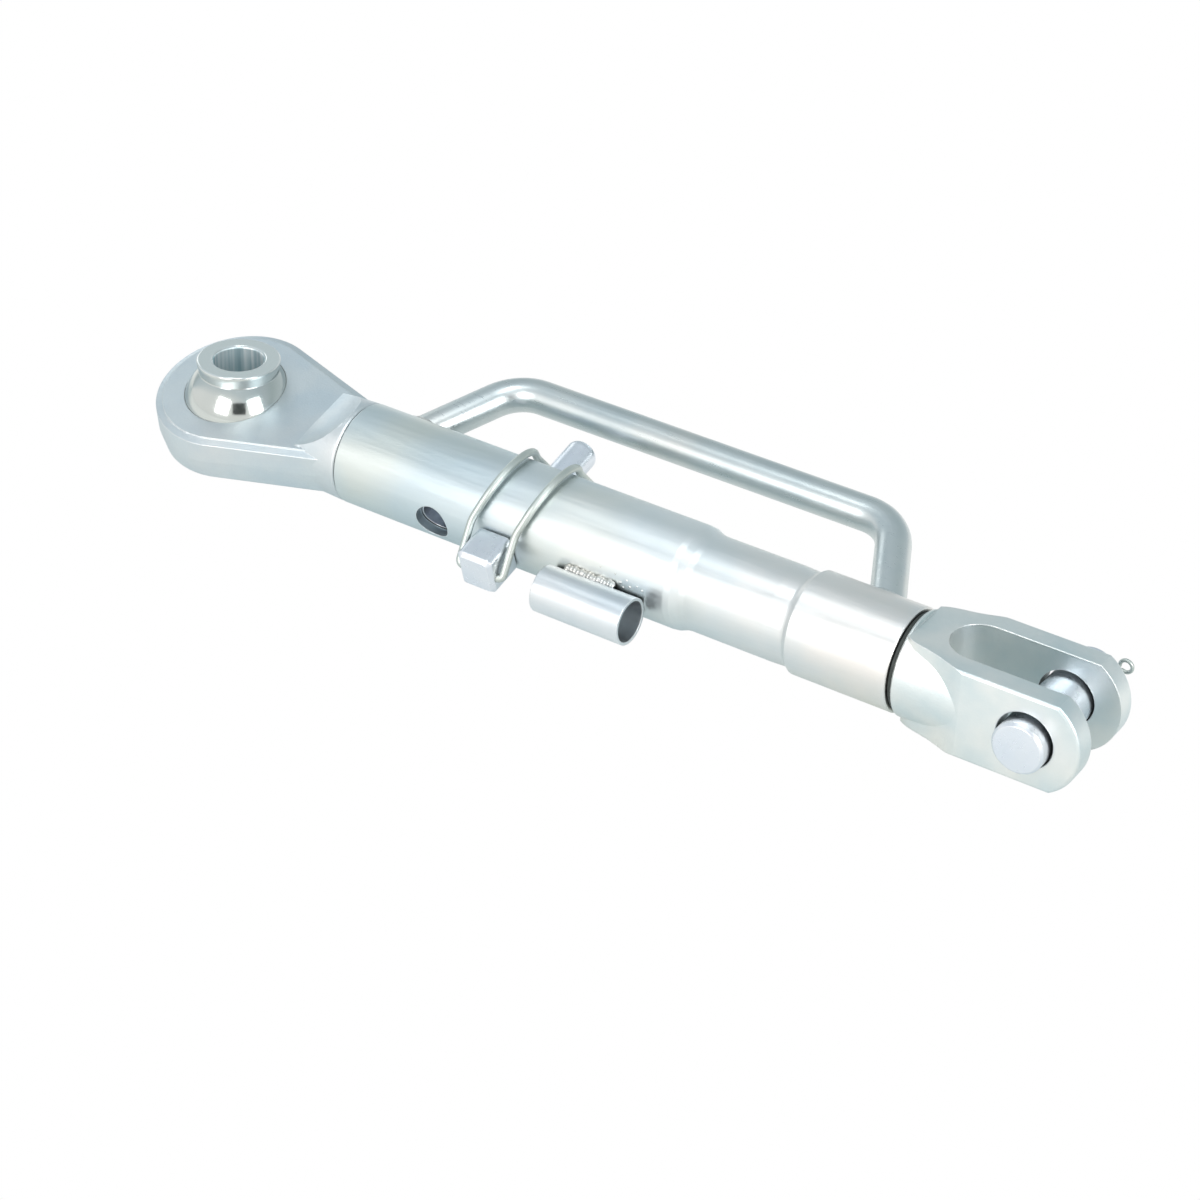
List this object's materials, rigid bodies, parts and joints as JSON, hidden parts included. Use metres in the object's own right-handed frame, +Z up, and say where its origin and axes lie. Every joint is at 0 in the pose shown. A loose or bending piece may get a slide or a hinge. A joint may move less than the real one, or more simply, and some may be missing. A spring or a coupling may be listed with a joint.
{
  "type": "tractor stabilizer bar",
  "caption": "Adjustable telescopic stabilizer bar for a tractor lower link: swivel-ball eye, locking pin with wire bail, turning handle and a clevis with its pin.",
  "frame": {"origin": "centre of the swivel ball, on the axis of its bore", "axes": "+X along the bar from the ball to the clevis, +Z up along the ball's bore, +Y to the side the turning handle is on"},
  "size_m": [0.4558, 0.1092, 0.0505],
  "materials": {
    "zinc_tube": "clear zinc plate on drawn tube",
    "zinc_machined": "clear zinc plate on turned steel",
    "zinc_rod": "clear zinc plate on bent round bar",
    "zinc_weld": "plated weld bead, rippled",
    "zinc_holder": "clear zinc plate on cut tube",
    "zinc_forging": "clear zinc plate on a blasted forging",
    "polished_ball": "ground and plated ball",
    "zinc_pin": "clear zinc plate on turned bar",
    "zinc_wire": "bright plated spring wire",
    "black_rubber": "dark moulded rubber",
    "zinc_clevis": "clear zinc plate on a blasted forging"
  },
  "bodies": {
    "bar": {"main_tube": "zinc_tube", "threaded_bush": "zinc_machined", "turning_handle": "zinc_rod", "handle_weld_left": "zinc_weld", "handle_weld_right": "zinc_weld", "holder_tube": "zinc_holder", "holder_weld_upper": "zinc_weld", "holder_weld_lower": "zinc_weld"},
    "ball_end": {"ball_end_forging": "zinc_forging", "ball_end_shank": "zinc_machined"},
    "swivel": {"swivel_ball": "polished_ball"},
    "lock": {"locking_pin": "zinc_pin", "locking_pin_head": "zinc_pin"},
    "bail": {"wire_bail": "zinc_wire"},
    "seal": {"dust_seal_ring": "black_rubber"},
    "clevis": {"clevis_fork": "zinc_clevis", "clevis_screw": "zinc_machined"},
    "cross_pin": {"clevis_pin": "zinc_pin", "split_pin": "zinc_wire"}
  },
  "joints": [
    {"name": "float_slide", "type": "slide", "parent": "bar", "child": "ball_end", "axis": [-1, 0, 0], "range_m": [0, 0.025]},
    {"name": "ball_tilt", "type": "hinge", "parent": "ball_end", "child": "swivel", "pos_m": [0, 0, 0], "axis": [1, 0, 0], "range_deg": [-2.5, 33.5]},
    {"name": "length_travel", "type": "slide", "parent": "bar", "child": "seal", "axis": [1, 0, 0], "range_m": [0, 0.042]},
    {"name": "clevis_turn", "type": "hinge", "parent": "seal", "child": "clevis", "pos_m": [0.3382, 0, 0], "axis": [1, 0, 0], "range_deg": [0, 4320]},
    {"name": "pin_draw", "type": "slide", "parent": "bar", "child": "lock", "axis": [0, -0.9636, -0.2672], "range_m": [0, 0.062]},
    {"name": "bail_swing", "type": "hinge", "parent": "lock", "child": "bail", "pos_m": [0.1537, -0.03382, -0.01052], "axis": [1, 0, 0], "range_deg": [0, 150]},
    {"name": "clevis_pin_draw", "type": "slide", "parent": "clevis", "child": "cross_pin", "axis": [0, 1, 0], "range_m": [0, 0.042]}
  ],
  "couplings": [
    {"joint": "length_travel", "follows": "clevis_turn", "m_per_rad": 0.000557},
    {"joint": "bail_swing", "follows": "pin_draw", "rad_per_m": 42.2}
  ]
}
